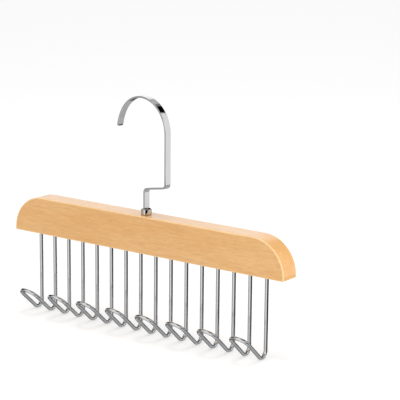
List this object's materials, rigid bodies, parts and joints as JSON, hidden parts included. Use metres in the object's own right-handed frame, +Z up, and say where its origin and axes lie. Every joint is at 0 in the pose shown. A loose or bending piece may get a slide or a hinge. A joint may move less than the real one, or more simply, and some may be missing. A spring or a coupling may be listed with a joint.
{
  "type": "belt hanger",
  "caption": "Wooden bar hanger with a swivelling flat strip hook above and a row of double wire hooks below for belts.",
  "frame": {"origin": "where the rod bears, on the inside of the strip hook's crown", "axes": "+X along the bar, +Z up, the wire hooks reach towards -Y"},
  "size_m": [0.31, 0.0453, 0.2195],
  "materials": {
    "wood": "sanded and clear lacquered",
    "chrome": "polished plate",
    "steel": "turned, zinc plated"
  },
  "bodies": {
    "hook": {"hook_strip": "chrome", "swivel_pin": "steel"},
    "bar": {"wood_bar": "wood", "wire_hook_1": "chrome", "wire_hook_2": "chrome", "wire_hook_3": "chrome", "wire_hook_4": "chrome", "wire_hook_5": "chrome", "wire_hook_6": "chrome", "wire_hook_7": "chrome", "wire_hook_8": "chrome", "collar": "chrome", "sleeve": "steel", "pin_washer": "steel"}
  },
  "joints": [
    {"name": "hook_swivel", "type": "hinge", "parent": "hook", "child": "bar", "pos_m": [0.00346, -0.00055, -0.1073], "axis": [0, 0, 1], "continuous": true}
  ]
}
